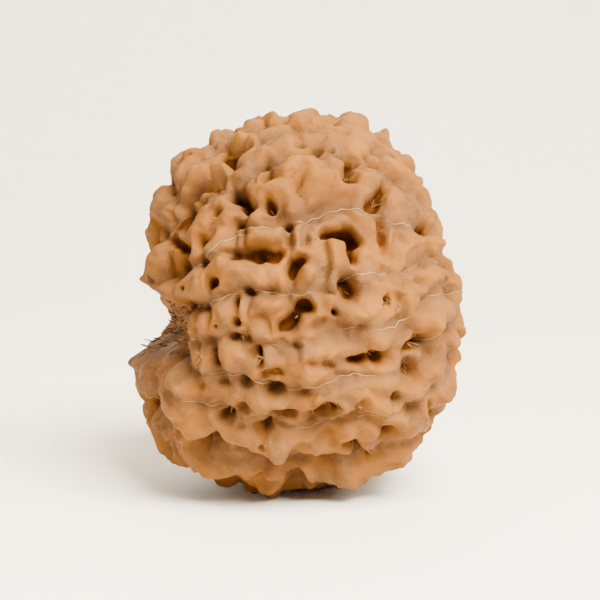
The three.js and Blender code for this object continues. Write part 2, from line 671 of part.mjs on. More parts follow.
// Closed solid, cut level underneath so that it stands on its flat spot
const solid = new wasm.Manifold(new wasm.Mesh({
  numProp: 3,
  vertProperties: Float32Array.from(corners),
  triVerts: Uint32Array.from(faces),
})).trimByPlane([0, 0, 1], 0);
const mesh = solid.getMesh();
const skin = new THREE.BufferGeometry();
skin.setAttribute('position', new THREE.BufferAttribute(mesh.vertProperties, 3));
skin.setIndex(new THREE.BufferAttribute(mesh.triVerts, 1));
skin.computeVertexNormals();

const shell = new THREE.MeshStandardMaterial({
  name: 'seed_shell',
  color: 0xb98a5e,
  roughness: 0.55,
  metalness: 0,
});
const seed = new THREE.Mesh(skin, shell);
seed.name = 'rudraksha_seed';

const group = new THREE.Group();
group.name = 'rudraksha';
group.add(seed);

export default group;
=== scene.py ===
import math

import bmesh
import bpy
import numpy as np
from bpy.props import FloatProperty, FloatVectorProperty, IntProperty, PointerProperty
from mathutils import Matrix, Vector


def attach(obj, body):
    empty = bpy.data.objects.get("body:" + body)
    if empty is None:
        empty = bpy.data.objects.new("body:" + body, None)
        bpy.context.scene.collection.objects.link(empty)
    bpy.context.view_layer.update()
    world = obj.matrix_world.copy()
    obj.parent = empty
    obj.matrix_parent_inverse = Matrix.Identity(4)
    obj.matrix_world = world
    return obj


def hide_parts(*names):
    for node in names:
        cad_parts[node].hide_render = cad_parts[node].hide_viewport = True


bl_info = {
    "name": "Rudraksha seed",
    "version": (1, 0, 0),
    "blender": (4, 5, 0),
    "location": "View3D > Sidebar > Seed",
    "description": "Builds the seed's fine relief, seam threads and fibres, and a plain studio",
    "category": "Object",
}

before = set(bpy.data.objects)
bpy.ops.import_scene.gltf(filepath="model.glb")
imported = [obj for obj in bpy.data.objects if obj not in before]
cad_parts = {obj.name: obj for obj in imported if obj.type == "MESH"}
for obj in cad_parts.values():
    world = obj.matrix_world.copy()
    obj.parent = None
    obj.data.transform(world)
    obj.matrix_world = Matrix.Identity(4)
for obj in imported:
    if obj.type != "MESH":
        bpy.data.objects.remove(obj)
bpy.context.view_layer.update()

NODE = "rudraksha_seed"
MM = 0.001

# The stone's form in millimetres and degrees, by the same named values as in the CAD source

# Body of the stone, a squat ball a little shorter along the stem axis than across it
HALF_LENGTH = 13.7
HALF_WIDTH = 16.9
SQUARENESS_ABOVE = 2.05
SQUARENESS_BELOW = 2.9
SQUARENESS_BLEND = 0.8
CENTRE_HEIGHT = 16.9
STEM_AXIS_TILT = 7

# Stem end: a notch runs across it from front to back, with a deeper bowl in its middle
NOTCH_LEVEL = 10.8
NOTCH_HALF_WIDTHS = (1.7, 3.9)
STEM_BOWL = (2.6, 0.8, 3.2)

# Shallow dimple at the tip: depth, floor radius, rim radius
TIP_DIMPLE = (1.2, 0.4, 4.0)

# Measuring direction of the front landmarks: degrees round from -Y, degrees up, distance
VIEW_AZIMUTH = -9
VIEW_ELEVATION = 8
VIEW_DISTANCE = 215

# Lines of sight are followed from this far in front of the centre to this far behind it, in steps
SIGHT_RANGE = (-20, 4)
SIGHT_STEP = 0.05

# Broad swellings and flattenings of the body: across, up, towards the viewer, spread, height
SWELLS = (
    (-14.0, -6.5, 0, 0.42, 1.8),
    (-12.5, 10.5, 0, 0.3, 1.1),
    (11.0, -12.0, 0, 0.4, -1.0),
    (14.0, 5.0, 0, 0.5, -0.6),
    (0, 17.0, 0, 0.4, -0.8),
    (-5.5, -16.0, 0, 0.2, -0.8),
    (-7.5, -14.0, 6.0, 0.28, 0.5),
    (6.6, 15.6, 0, 0.2, 0.7),
    (12.3, 11.0, 0, 0.25, -0.5),
)

# Seams that run from the stem end to the tip, as degrees round the stem axis from the front:
# near the stem, half way, near the tip
FRONT_SEAMS = (
    (-26, -32, -29),
    (-14, -17, -12),
    (-1, -3, 2),
    (14, 12, 17),
    (32, 34, 31),
    (59, 55, 52),
    (74, 70, 63),
)
SEAM_MIDDLE = 90
SEAM_BEND_REACH = 35
SEAM_SWAY = 1.6
SEAM_SWAY_RATE = 0.19

# Seams of the back, shared out evenly: number, unevenness of the shares, bends at the two ends
BACK_SEAM_COUNT = 14
BACK_SEAM_SHIFT = 0.2
BACK_SEAM_BENDS = (3, 4)

# Seams lie in valleys whose sides run in and out as lobes, and the faces between them swell;
# all of it fades out between these distances from the stem axis
FACE_SWELL = 0.35
VALLEY_DEPTH = 0.45
VALLEY_REACH = (0.3, 0.55)
VALLEY_FLOOR = 0.2
VALLEY_SIDE = 0.8
LEAST_REACH = 0.05
SEAM_FADE = (5.0, 11.0)

# Round pits of the front: across, up from the centre as measured, width, depth
ROUND_PITS = (
    (-9.1, 8.9, 0.8, 1.4), (-7.6, 7.6, 0.7, 1.2), (-3.9, 12.0, 0.7, 1.0), (-3.6, 14.0, 0.4, 0.5),
    (0.2, 14.0, 0.6, 0.7), (-0.5, 13.9, 0.4, 0.5), (1.4, 13.4, 0.8, 1.2), (2.4, 13.2, 0.5, 0.8),
    (-3.0, 10.8, 1.0, 1.5), (-2.8, 8.5, 0.9, 1.8), (-2.3, 8.4, 2.0, 0.5), (-0.2, 10.2, 0.8, 0.9),
    (6.6, 12.8, 0.8, 1.1), (7.3, 13.1, 0.4, 0.5), (7.9, 10.7, 0.7, 1.0), (-8.6, 5.2, 0.8, 1.2),
    (-5.7, 6.6, 0.8, 1.3), (-4.9, 5.9, 0.8, 0.6), (-8.5, 3.3, 1.0, 1.2), (-7.5, 1.6, 1.1, 2.0),
    (-11.2, 1.4, 0.3, 0.6), (-10.2, 1.4, 0.4, 0.7), (-3.8, 3.5, 1.0, 0.8), (-4.6, 0.6, 0.7, 1.0),
    (-5.9, -0.4, 0.8, 1.2), (-5.7, -1.8, 0.8, 1.2), (-7.7, -2.2, 0.3, 0.5), (-8.3, -1.1, 1.0, 0.5),
    (0.9, 5.5, 0.6, 0.6), (3.1, -1.3, 0.6, 1.2), (7.9, 4.3, 1.2, 0.8), (11.2, 3.4, 0.4, 0.5),
    (7.8, -0.2, 0.9, 0.9), (9.3, -0.3, 1.6, 0.7), (10.6, 1.3, 1.8, 0.6), (13.3, 1.4, 0.5, 0.6),
    (12.6, 4.0, 1.2, 1.2), (-12.8, 6.4, 0.8, 0.9), (-8.3, -4.6, 0.4, 0.6), (-7.7, -5.2, 0.7, 1.0),
    (-7.4, -4.1, 0.3, 0.6), (-11.2, -6.2, 0.3, 0.4), (-7.0, -7.7, 0.8, 0.5), (-5.0, -7.7, 0.8, 1.0),
    (-6.7, -10.5, 1.0, 1.7), (-4.3, -5.1, 1.2, 0.5), (-2.3, -8.1, 0.9, 1.4), (-0.5, -4.5, 0.9, 0.4),
    (2.9, -9.7, 1.2, 1.8), (0.4, -8.5, 0.9, 0.4), (-3.4, -12.9, 0.5, 0.7), (10.3, -6.9, 1.3, 1.0),
    (8.6, -8.8, 0.8, 1.2), (7.3, -10.0, 0.3, 0.4), (8.0, -12.1, 1.2, 1.5), (-9.1, -13.1, 0.9, 1.5),
    (-5.4, -13.3, 1.0, 1.3), (9.4, -13.8, 0.5, 0.8), (2.7, -12.6, 1.6, 0.9), (2.3, -14.9, 1.6, 1.0),
    (0.0, -13.5, 1.4, 0.7), (-0.2, -16.0, 1.2, 1.0), (-3.4, -16.0, 1.2, 0.9), (-6.5, -16.1, 1.4, 0.9),
)

# Slots of the front: across, up at one end, across, up at the other end, width, depth
SLOTS = (
    (-6.1, 9.8, -4.7, 8.3, 0.9, 2.0), (4.7, 12.6, 4.1, 10.4, 0.7, 1.6), (6.5, 8.5, 7.4, 9.8, 0.9, 1.8),
    (-11.2, 7.4, -10.1, 7.4, 1.5, 1.4), (-12.0, 5.5, -9.9, 4.6, 0.8, 1.3),
    (-12.2, 2.9, -11.2, 2.9, 1.8, 0.9), (-5.8, 4.1, -2.4, 4.0, 1.4, 1.5),
    (-10.6, -0.2, -9.0, -0.6, 1.0, 0.9), (-1.2, 6.6, -1.2, 5.6, 0.8, 1.4),
    (2.3, 6.0, 3.6, 6.0, 0.9, 1.4), (3.6, 6.0, 4.7, 5.3, 1.1, 2.2), (4.7, 5.3, 4.5, 4.0, 0.9, 1.5),
    (-0.6, 2.6, 0.1, 3.5, 1.0, 1.9), (0.3, -0.7, -1.2, -2.5, 1.1, 1.9), (4.0, 1.3, 4.6, 0.4, 0.8, 1.8),
    (7.1, 6.8, 7.5, 5.4, 1.1, 1.3), (9.0, 5.2, 9.0, 3.4, 1.2, 0.7), (11.2, 6.5, 12.3, 5.8, 1.2, 1.8),
    (-5.8, -3.3, -5.0, -3.3, 0.6, 0.8), (-10.3, -4.9, -9.5, -5.0, 0.7, 0.9),
    (-13.0, -10.1, -11.7, -10.5, 0.7, 1.5), (-5.6, -9.6, -4.9, -9.6, 0.8, 0.9),
    (-3.6, -4.7, -3.6, -5.7, 0.6, 1.1), (-3.1, -6.8, -2.0, -6.4, 0.9, 1.0),
    (2.0, -5.0, 3.0, -5.8, 0.6, 0.4), (4.7, -5.5, 5.3, -5.5, 0.8, 1.7), (6.4, -5.2, 7.0, -5.1, 1.0, 1.9),
    (1.1, -10.5, 1.8, -10.5, 0.9, 1.2), (-2.3, -10.3, -0.5, -10.2, 0.8, 1.1),
    (4.8, -10.4, 5.5, -9.3, 1.0, 0.8), (-3.3, -11.5, -3.2, -11.6, 0.9, 1.5),
    (10.0, -4.3, 10.8, -3.5, 1.1, 1.6), (11.5, -9.3, 11.7, -10.2, 0.5, 0.8),
    (-8.1, -12.7, -7.2, -12.7, 1.0, 1.6), (-5.0, -13.6, -3.6, -14.6, 0.8, 0.7),
    (4.8, -13.2, 6.4, -14.4, 0.8, 1.5), (-8.4, 12.2, -8.3, 11.3, 0.3, 0.7),
    (-13.4, -6.6, -13.3, -9.2, 0.9, 1.0), (-9.9, -6.2, -9.0, -7.4, 0.8, 0.6),
    (-8.0, 13.5, -6.2, 13.5, 1.3, 1.0), (-7.0, 13.2, -5.8, 11.9, 0.8, 0.8),
    (-10.8, 8.9, -9.4, 10.0, 0.8, 1.0), (-9.0, 10.3, -7.2, 10.8, 0.6, 0.7),
)

# Knobs and tongues of the front: across, up at one end, across, up at the other end, width, height
KNOBS = (
    (-7.9, 11.9, -6.9, 11.9, 1.4, 0.7), (-7.5, 15.5, -7.5, 15.2, 1.8, 0.9),
    (-4.8, 15.8, -4.4, 15.8, 2.0, 0.6), (-2.4, 16.2, -2.4, 15.9, 1.6, 0.8),
    (0.9, 17.4, -0.4, 15.9, 1.8, 0.9), (2.3, 16.8, 5.6, 16.4, 2.2, 0.8), (7.0, 15.2, 7.2, 15.0, 1.8, 0.6),
    (8.6, 14.0, 8.8, 13.8, 1.8, 0.5), (10.1, 13.2, 10.2, 13.0, 1.6, 0.6),
    (10.2, 11.3, 10.3, 11.1, 1.4, 0.5), (11.7, 9.2, 11.8, 8.9, 2.0, 0.6),
    (13.0, 7.4, 13.1, 7.1, 2.0, 0.5), (-3.4, 11.5, -0.3, 12.3, 1.4, 0.7),
    (0.5, 12.2, 4.4, 12.1, 1.4, 0.6), (-0.3, 13.2, -0.3, 13.0, 0.8, 0.4),
    (-4.5, 6.1, -1.6, 6.3, 1.6, 1.0), (-0.1, 6.9, -0.3, 4.1, 1.0, 0.6), (3.5, 4.7, 3.2, 1.5, 1.6, 1.1),
    (0.4, 2.1, 0.6, 2.1, 1.5, 0.7), (-3.8, -0.3, -2.4, -0.5, 1.4, 0.7), (-8.0, 2.2, -4.5, 2.0, 2.4, 0.4),
    (10.4, 7.9, 10.4, 7.7, 1.5, 0.6), (11.9, 4.9, 12.4, 5.0, 1.6, 0.6), (0.6, -4.6, 2.4, -4.6, 1.6, 0.7),
    (-11.7, -7.2, -11.2, -8.9, 4.2, 1.3), (-14.2, -7.7, -14.1, -7.9, 1.4, 0.5),
    (-13.5, -10.4, -13.4, -10.5, 1.4, 0.5), (-13.3, -4.2, -13.1, -4.2, 1.2, 0.5),
    (-4.6, -10.6, -4.3, -11.2, 1.6, 0.8), (-10.3, -11.3, -9.2, -12.2, 2.0, 0.7),
    (-5.9, -14.9, -5.7, -15.0, 2.2, 0.6), (-1.9, -13.4, -1.7, -14.3, 1.4, 0.7),
    (-2.4, -15.6, -2.4, -16.4, 1.4, 0.6), (0.8, -15.4, 0.9, -16.3, 1.3, 0.7),
    (3.6, -15.4, 3.7, -16.2, 1.3, 0.4), (14.4, -1.3, 14.4, -1.5, 1.6, 0.3),
    (15.0, -3.3, 15.0, -3.6, 1.6, 0.8), (13.9, -8.2, 13.8, -8.5, 1.8, 0.5),
    (13.2, -9.3, 13.1, -9.5, 1.5, 0.5), (11.8, -12.2, 11.6, -12.4, 1.6, 0.4),
    (10.5, -13.4, 10.4, -13.5, 1.5, 0.3), (-4.7, 14.4, -4.5, 14.4, 1.6, 0.4),
)

# Share of a pit's depth, and of a knob's height, at which its measured place was read
PIT_READ_AT = 0.45
KNOB_READ_AT = 0.4

# Least share of its true width at which a slanting pit was still measured
LEAST_FACING = 0.3

# Hidden sides: the same kinds of pits and knobs, drawn from a fixed seed
DRAW_SEED = 20817
ROW_STEP = 3.3
MEAN_RADIUS = 15
ROW_STARTS = (24, 30)
ROW_END = 152
ROW_SHARES = (0.8, 1.2)

# Drawn pits: places between two seams, slant along the seams, sizes, share that is round, share at
# full depth
PIT_PLACES = (0.25, 0.75)
PIT_END_PLACES = (0.3, 0.7)
PIT_SLANT = 7
PIT_WIDTHS = (0.9, 1.8)
PIT_DEPTHS = (0.9, 1.9)
ROUND_SHARE = 0.55
DEEP_SHARE = 0.85

# Drawn knobs: places between two seams, slant along the seams, sizes
KNOB_PLACES = (-0.1, 0.2)
KNOB_END_PLACES = (0.2, 0.5)
KNOB_SLANT = 6
KNOB_WIDTHS = (1.8, 2.9)
KNOB_HEIGHTS = (0.3, 0.8)

# Edge of the measured front, as a share of facing the viewer, and the drawn knobs that fill it:
# distance kept from measured marks and share of the height
FRONT_EDGE = 0.32
FILL_DISTANCE = 1.3
FILL_SHARE = 0.75

# Broad unevenness, creased lumps, the bend of every outline and the lobes of the valleys:
# number of waves, shortest and longest wave, size; creases are rounded to a share of the lumps
WAVE_COUNT = 24
WAVE_LENGTHS = (3.5, 8.0)
WAVE_HEIGHT = 0.2
RIPPLE_COUNT = 24
RIPPLE_LENGTHS = (2.8, 5.0)
RIPPLE_HEIGHT = 0.34
CREASE_WIDTH = 0.22
MEAN_RISE = 0.8
BEND_COUNT = 14
BEND_LENGTHS = (1.8, 4.0)
BEND_SIZE = 0.16
LOBE_COUNT = 16
LOBE_LENGTHS = (2.4, 4.2)

# Depth that a crowd of pits tends to, the sum at which it is well on the way, and the lift of knobs
DEEPEST = 4.2
DEEPENING = 2.4
KNOB_LIFT = 1.1

# Profiles: a pit's wall and its soft rim as share, steepness and power; a knob's edge and roundness
PIT_WALL = (0.85, 0.8, 2.6)
PIT_RIM = (0.15, 0.22, 2.0)
PIT_REACH = 6
KNOB_EDGE = 1.2
KNOB_ROUNDNESS = 2.6

# Flat spot underneath: radius in which the relief fades out, and the low-relief radius inside it
FLAT_SPOT_RADII = (2.6, 5.5)
FLAT_SPOT_HEIGHT = 0.25

# Fine creases of the skin, too shallow for the CAD source: seed, number of waves, shortest and
# longest wave, height, rounding
FINE_SEED = 904
FINE_COUNT = 10
FINE_LENGTHS = (1.1, 2.2)
FINE_HEIGHT = 0.08
FINE_CREASE = 0.12

# Pits of the front that hold loose fibres: across, up, how many, length
FIBRE_PITS = (
    (-7.6, 7.6, 2, 0.6), (-2.8, 8.5, 3, 0.7), (-5.2, 8.8, 4, 1.0), (7.9, 10.7, 4, 0.8),
    (7.0, 9.2, 7, 1.1), (7.2, 6.3, 3, 0.8), (4.4, 11.6, 4, 0.8), (7.8, -0.2, 7, 0.9),
    (8.6, -0.4, 4, 0.8), (-3.6, -5.2, 4, 0.8), (-2.4, -6.6, 3, 0.7), (-2.3, -8.1, 2, 0.6),
    (2.9, -9.7, 8, 1.1), (1.4, -10.5, 5, 0.8), (5.2, -9.8, 7, 1.0), (5.6, -13.8, 9, 1.3),
    (-9.9, -5.0, 8, 1.2), (-9.0, -5.2, 5, 1.0), (8.6, -8.8, 3, 0.7), (10.3, -6.9, 4, 0.8),
    (10.4, -3.9, 6, 1.0), (-0.4, -1.6, 3, 0.6), (0.9, 5.5, 3, 0.6), (8.0, -12.1, 5, 0.9),
    (-5.2, -3.3, 3, 0.7), (-0.2, 10.0, 3, 0.7), (6.7, -5.2, 2, 0.6), (4.3, 0.8, 2, 0.7),
    (-6.7, -10.5, 3, 0.8), (-2.6, 3.9, 2, 0.8),
)

# Every fibre: spread of the roots, depth of a root under the skin, widths along the fibre, lean to
# one side, curl, and shares of the length above
FIBRE_SEED = 5521
FIBRE_SPREAD = 0.35
FIBRE_ROOT = 0.2
FIBRE_TAPERS = (1.0, 1.0, 1.0, 0.9, 0.6)
FIBRE_LEANS = (0.2, 1.3)
FIBRE_CURL = 0.15
FIBRE_LENGTH_SHARES = (0.45, 0.95)

# Fibres of the drawn pits: least depth of such a pit, share of them, number and lengths
DRAWN_FIBRE_DEPTH = 1.2
DRAWN_FIBRE_SHARE = 0.5
DRAWN_FIBRE_COUNTS = (2, 7)
DRAWN_FIBRE_LENGTHS = (0.5, 1.2)

# Fibres of the notch at the stem end: half its length and half its width, lengths
STEM_HALF_SIZES = (8.5, 2.2)
STEM_LENGTHS = (0.3, 0.9)

# Threads along the seams: from and to which angle from the stem end, steps, and how clearly they
# show on the front seams, from the lowest up, and on all others
THREAD_ANGLES = (38.0, 150.0)
THREAD_STEP = 0.8
THREAD_STRENGTHS = (0.8, 1.0, 1.0, 1.0, 1.0, 0.3, 0.3)
OTHER_STRENGTH = 0.55

# Fading towards the tip: from and to which angle, and by how much
THREAD_FADE = (112.0, 150.0)
THREAD_FADED = 0.6

# Way to one side and the other: degrees, its rate, and its shift from seam to seam
THREAD_WANDER = (0.25, 1.3, 3)

# Width, as a share of the radius: mean, how far two kinds of waves change it, least and most
THREAD_WIDTH = (0.6, 0.45, 0.3)
THREAD_WIDTHS = (0.05, 1.1)

# Height of the threads over the skin, and least height of all strands over the ground
THREAD_LIFT = 0.03
STRAND_FLOOR = 0.08

# How a knob counts in the level and in the carved depth that set the painted shade of low places
# and pits, and how far from a seam dust lies
KNOB_LEVEL = 0.6
KNOB_CARVED = 0.8
DUST_REACH = 0.8

# Mottles of the skin and the strands: scale to a metre, detail, noise that becomes 0 and 1
SHELL_MOTTLE = (180.0, 4.0, 0.3, 0.7)
DUST_MOTTLE = (700.0, 3.0, 0.3, 0.7)
DUSTY_MOTTLE = (260.0, 5.0, 0.35, 0.75)
DULL_MOTTLE = (900.0, 3.0, 0.3, 0.7)
PATCH_MOTTLE = (330.0, 5.0, 0.46, 0.66)
SPECK_MOTTLE = (4600.0, 1.0, 0.64, 0.76)
# Mottle of the painted shade in the low places
HOLLOW_SHADE_MOTTLE = (350.0, 3.0, 0.3, 0.7)
# Mottle of the painted shade in the pits, partly their own darker brown
PIT_SHADE_MOTTLE = (500.0, 3.0, 0.3, 0.7)
ROUGH_MOTTLE = (400.0, 4.0, 0.3, 0.7)
STRAND_MOTTLE = (900.0, 2.0, 0.3, 0.7)

# Whole range of a mask
MASK = (0.0, 1.0)

# Level and carved depth between which the painted shade of low places and pits and the sheen change, and
# the ends of the changes
HOLLOW_SHADE_LEVELS = (0.25, -0.95)
PIT_SHADE_DEPTHS = (0.7, 1.2)
SHEEN_DEPTHS = (0.2, 0.9)
SHEEN = (0.04, 0.0)
PATCH_STRENGTH = (0.0, 0.85)
ROUGHNESS = (0.5, 0.7)
STRAND_ROUGHNESS = 0.6
STRAND_SHEEN = 0.2
FLOOR_ROUGHNESS = 0.6

# Grain of the skin, finest first: mottle, strength, height in metres
GRAINS = (
    ((3200.0, 5.0, 0.0, 1.0), 0.35, 0.00012),
    ((1100.0, 5.0, 0.0, 1.0), 0.5, 0.0003),
)

# Light that goes through the skin: share, reach of red, green and blue in metres
THROUGH_SHARE = 0.08
THROUGH_REACH = (0.0012, 0.0006, 0.0003)

# Width of the view in millimetres at the stone, and the lamps: place and size in metres, share of
# the power
VIEW_WIDTH = 54
LAMPS = (
    ("key", (0.08, -0.21, 0.28), 0.20, 1.0),
    ("fill", (0.24, -0.22, 0.26), 0.25, 0.25),
    ("side", (-0.30, -0.16, 0.14), 0.22, 0.02),
    ("back", (0.0, 0.16, 0.42), 0.30, 0.10),
)

# Plain floor that sweeps up behind: half its size, start and radius of the sweep in metres, rows
SWEEP_SIZE = 1.2
SWEEP_START = 0.10
SWEEP_RADIUS = 0.22
SWEEP_ROWS = 96

# Direction of the stem axis and the two directions square to it
TILT = math.radians(STEM_AXIS_TILT)
AXIS = np.array((math.cos(TILT), 0, math.sin(TILT)))
FRONT = np.array((0.0, -1.0, 0.0))
UPPER = np.cross(FRONT, AXIS)

# Direction to the viewer, and right and up as the viewer sees them
AZIMUTH = math.radians(VIEW_AZIMUTH)
ELEVATION = math.radians(VIEW_ELEVATION)
TO_VIEWER = np.array((
    math.sin(AZIMUTH) * math.cos(ELEVATION),
    -math.cos(AZIMUTH) * math.cos(ELEVATION),
    math.sin(ELEVATION),
))
VIEW_RIGHT = np.array((math.cos(AZIMUTH), math.sin(AZIMUTH), 0.0))
VIEW_UP = np.cross(TO_VIEWER, VIEW_RIGHT)


class Draws:
    """Repeatable draws between 0 and 1."""

    def __init__(self, seed):
        self.state = seed

    def next(self):
        self.state = (self.state * 1664525 + 1013904223) & 0xFFFFFFFF
        return self.state / 4294967296

    def between(self, low, high):
        return low + (high - low) * self.next()


def smooth(low, high, value):
    t = np.clip((value - low) / (high - low), 0.0, 1.0)
    return t * t * (3 - 2 * t)


def view_direction(across, up, near):
    direction = VIEW_RIGHT * across + VIEW_UP * up + TO_VIEWER * near
    return direction / np.linalg.norm(direction)


def body_radius(u):
    """Distance from the centre to the plain body along unit directions."""
    height = smooth(-SQUARENESS_BLEND, SQUARENESS_BLEND, u[:, 2])
    n = SQUARENESS_BELOW + (SQUARENESS_ABOVE - SQUARENESS_BELOW) * height
    across = np.hypot(u[:, 1], u[:, 2])
    r = ((np.abs(u[:, 0]) / HALF_LENGTH) ** n + (across / HALF_WIDTH) ** n) ** (-1 / n)
    for across_view, up, near, spread, lift in SWELLS:
        apart = np.sum((u - view_direction(across_view, up, near)) ** 2, axis=1)
        r = r + lift * np.exp(-apart / spread**2)
    along = u @ AXIS
    off = np.sqrt(np.maximum(0.0, 1 - along * along))
    stem = along < 0
    side = np.abs(r * (u @ UPPER))
    notched = np.minimum(r, NOTCH_LEVEL / np.maximum(-along, 1e-6))
    r = np.where(stem, r + (notched - r) * (1 - smooth(*NOTCH_HALF_WIDTHS, side)), r)
    stem_bowl = STEM_BOWL[0] * (1 - smooth(STEM_BOWL[1], STEM_BOWL[2], r * off))
    tip_dimple = TIP_DIMPLE[0] * (1 - smooth(TIP_DIMPLE[1], TIP_DIMPLE[2], r * off))
    return r - np.where(stem, stem_bowl, tip_dimple)


def direction_seen(across, up, under):
    """Direction of the place on the sunk body that is seen at a measured point, or nearest to it."""
    eye = TO_VIEWER * VIEW_DISTANCE
    ray = VIEW_RIGHT * across + VIEW_UP * up - eye
    ray = ray / np.linalg.norm(ray)
    nearest, farthest = (VIEW_DISTANCE + offset for offset in SIGHT_RANGE)
    p = eye + np.arange(nearest, farthest, SIGHT_STEP)[:, None] * ray
    size = np.linalg.norm(p, axis=1)
    gap = size - body_radius(p / size[:, None]) + under
    inside = np.nonzero(gap < 0)[0]
    i = inside[0] if len(inside) else int(np.argmin(gap))
    return p[i] / size[i]


def place_seen(across, up, under=0.0):
    """Place on the plain body for a measured mark; near the edge of the view the rim was read."""
    facing = max(0.0, float(direction_seen(across, up, 0.0) @ TO_VIEWER))
    u = direction_seen(across, up, under * facing)[None, :]
    return u[0] * body_radius(u)[0]


def direction_at(from_stem, turn):
    """Unit directions at angles from the stem end and round the stem axis, in degrees."""
    a = np.radians(np.atleast_1d(from_stem))[:, None]
    b = np.radians(np.atleast_1d(turn))[:, None]
    return -np.cos(a) * AXIS + np.sin(a) * (np.cos(b) * FRONT + np.sin(b) * UPPER)


def place_at(from_stem, turn):
    u = direction_at(from_stem, turn)
    return u[0] * body_radius(u)[0]


def seam_angle(seam, from_stem):
    (near, half, far), phase = seam
    t = (from_stem - SEAM_MIDDLE) / SEAM_BEND_REACH
    bend = np.minimum(1.0, t * t)
    end = np.where(t < 0, near, far)
    return half + (end - half) * bend + SEAM_SWAY * np.sin(from_stem * SEAM_SWAY_RATE + phase)


def stroke(a, b, width, size):
    return (np.array(a), np.array(b) - np.array(a), width / 2, size)


def stroke_distance(s, p):
    a, run, _, _ = s
    q = p - a
    length2 = run @ run
    if length2 > 0:
        q = q - np.clip(q @ run / length2, 0, 1)[:, None] * run
    return np.linalg.norm(q, axis=1)


def mark(ends, width, size, read_at):
    x, z, s, t = ends
    return stroke(place_seen(x, z, read_at * size), place_seen(s, t, read_at * size), width, size)


def seen_pit(ends, width, depth):
    """A pit of the front; those seen at a slant look narrower than they are."""
    a, run, half, size = mark(ends, width, depth, PIT_READ_AT)
    facing = max(LEAST_FACING, float(a @ TO_VIEWER) / np.linalg.norm(a))
    return a, run, half / math.sqrt(facing), size


def hidden(p):
    return p @ TO_VIEWER / np.linalg.norm(p) < FRONT_EDGE


def free(p, measured):
    return all(stroke_distance(s, p[None, :])[0] > FILL_DISTANCE for s in measured)


def wave_set(draws, count, lengths):
    waves = []
    for _ in range(count):
        up = draws.between(-1, 1)
        turn = draws.between(0, 2 * math.pi)
        flat = math.sqrt(1 - up * up)
        k = 2 * math.pi / draws.between(*lengths)
        phase = draws.between(0, 2 * math.pi)
        waves.append((k * np.array((flat * math.cos(turn), flat * math.sin(turn), up)), phase))
    return waves


def wave_sum(waves, p):
    total = np.zeros(len(p))
    for k, phase in waves:
        total += np.sin(p @ k + phase)
    return total / math.sqrt(len(waves) / 2)


def lay_out():
    """Seams, pits, knobs and waves of the whole stone."""
    draws = Draws(DRAW_SEED)
    seams = [(angles, draws.between(0, 2 * math.pi)) for angles in FRONT_SEAMS]
    first_back = FRONT_SEAMS[-1][1]
    span = 360 + FRONT_SEAMS[0][1] - first_back
    for i in range(1, BACK_SEAM_COUNT + 1):
        shift = draws.between(-BACK_SEAM_SHIFT, BACK_SEAM_SHIFT)
        middle = first_back + span * (i + shift) / (BACK_SEAM_COUNT + 1)
        near, far = (middle + draws.between(-bend, bend) for bend in BACK_SEAM_BENDS)
        seams.append(((near, middle, far), draws.between(0, 2 * math.pi)))
    pits = [seen_pit((x, z, x, z), w, d) for x, z, w, d in ROUND_PITS]
    pits += [seen_pit(ends, w, d) for *ends, w, d in SLOTS]
    knobs = [mark(ends, w, h, -KNOB_READ_AT) for *ends, w, h in KNOBS]
    measured = pits + knobs
    step = math.degrees(ROW_STEP / MEAN_RADIUS)
    for k, seam in enumerate(seams):
        turn = seams[(k + 1) % len(seams)][0][1] - seam[0][1]
        turn = turn + 360 if turn < 0 else turn
        from_stem = draws.between(*ROW_STARTS)
        while from_stem < ROW_END:
            start = float(seam_angle(seam, np.float64(from_stem)))
            a = place_at(from_stem, start + turn * draws.between(*PIT_PLACES))
            slant = draws.between(-PIT_SLANT, PIT_SLANT)
            b = place_at(from_stem + slant, start + turn * draws.between(*PIT_END_PLACES))
            kind = draws.next()
            width = draws.between(*PIT_WIDTHS)
            depth = draws.between(*PIT_DEPTHS)
            half = from_stem + step / 2
            c = place_at(half, start + turn * draws.between(*KNOB_PLACES))
            lean = draws.between(-KNOB_SLANT, KNOB_SLANT)
            d = place_at(half + lean, start + turn * draws.between(*KNOB_END_PLACES))
            knob_width = draws.between(*KNOB_WIDTHS)
            knob_height = draws.between(*KNOB_HEIGHTS)
            if hidden(a):
                end = a if kind < ROUND_SHARE else b
                pits.append(stroke(a, end, width, depth if kind < DEEP_SHARE else depth / 2))
            if hidden(c):
                knobs.append(stroke(c, d, knob_width, knob_height))
            elif free(c, measured) and free(d, measured):
                knobs.append(stroke(c, d, knob_width, knob_height * FILL_SHARE))
            from_stem += step * draws.between(*ROW_SHARES)
    waves = wave_set(draws, WAVE_COUNT, WAVE_LENGTHS)
    ripples = wave_set(draws, RIPPLE_COUNT, RIPPLE_LENGTHS)
    bends = [wave_set(draws, BEND_COUNT, BEND_LENGTHS) for _ in range(3)]
    lobes = wave_set(draws, LOBE_COUNT, LOBE_LENGTHS)
    return seams, pits, knobs, waves, ripples, bends, lobes


SEAMS, PITS, KNOBS_LAID, WAVES, RIPPLES, BENDS, LOBES = lay_out()
FINE_WAVES = wave_set(Draws(FINE_SEED), FINE_COUNT, FINE_LENGTHS)


def falloff(profile, t):
    share, steepness, power = profile
    return share * np.exp(-steepness * t**power)


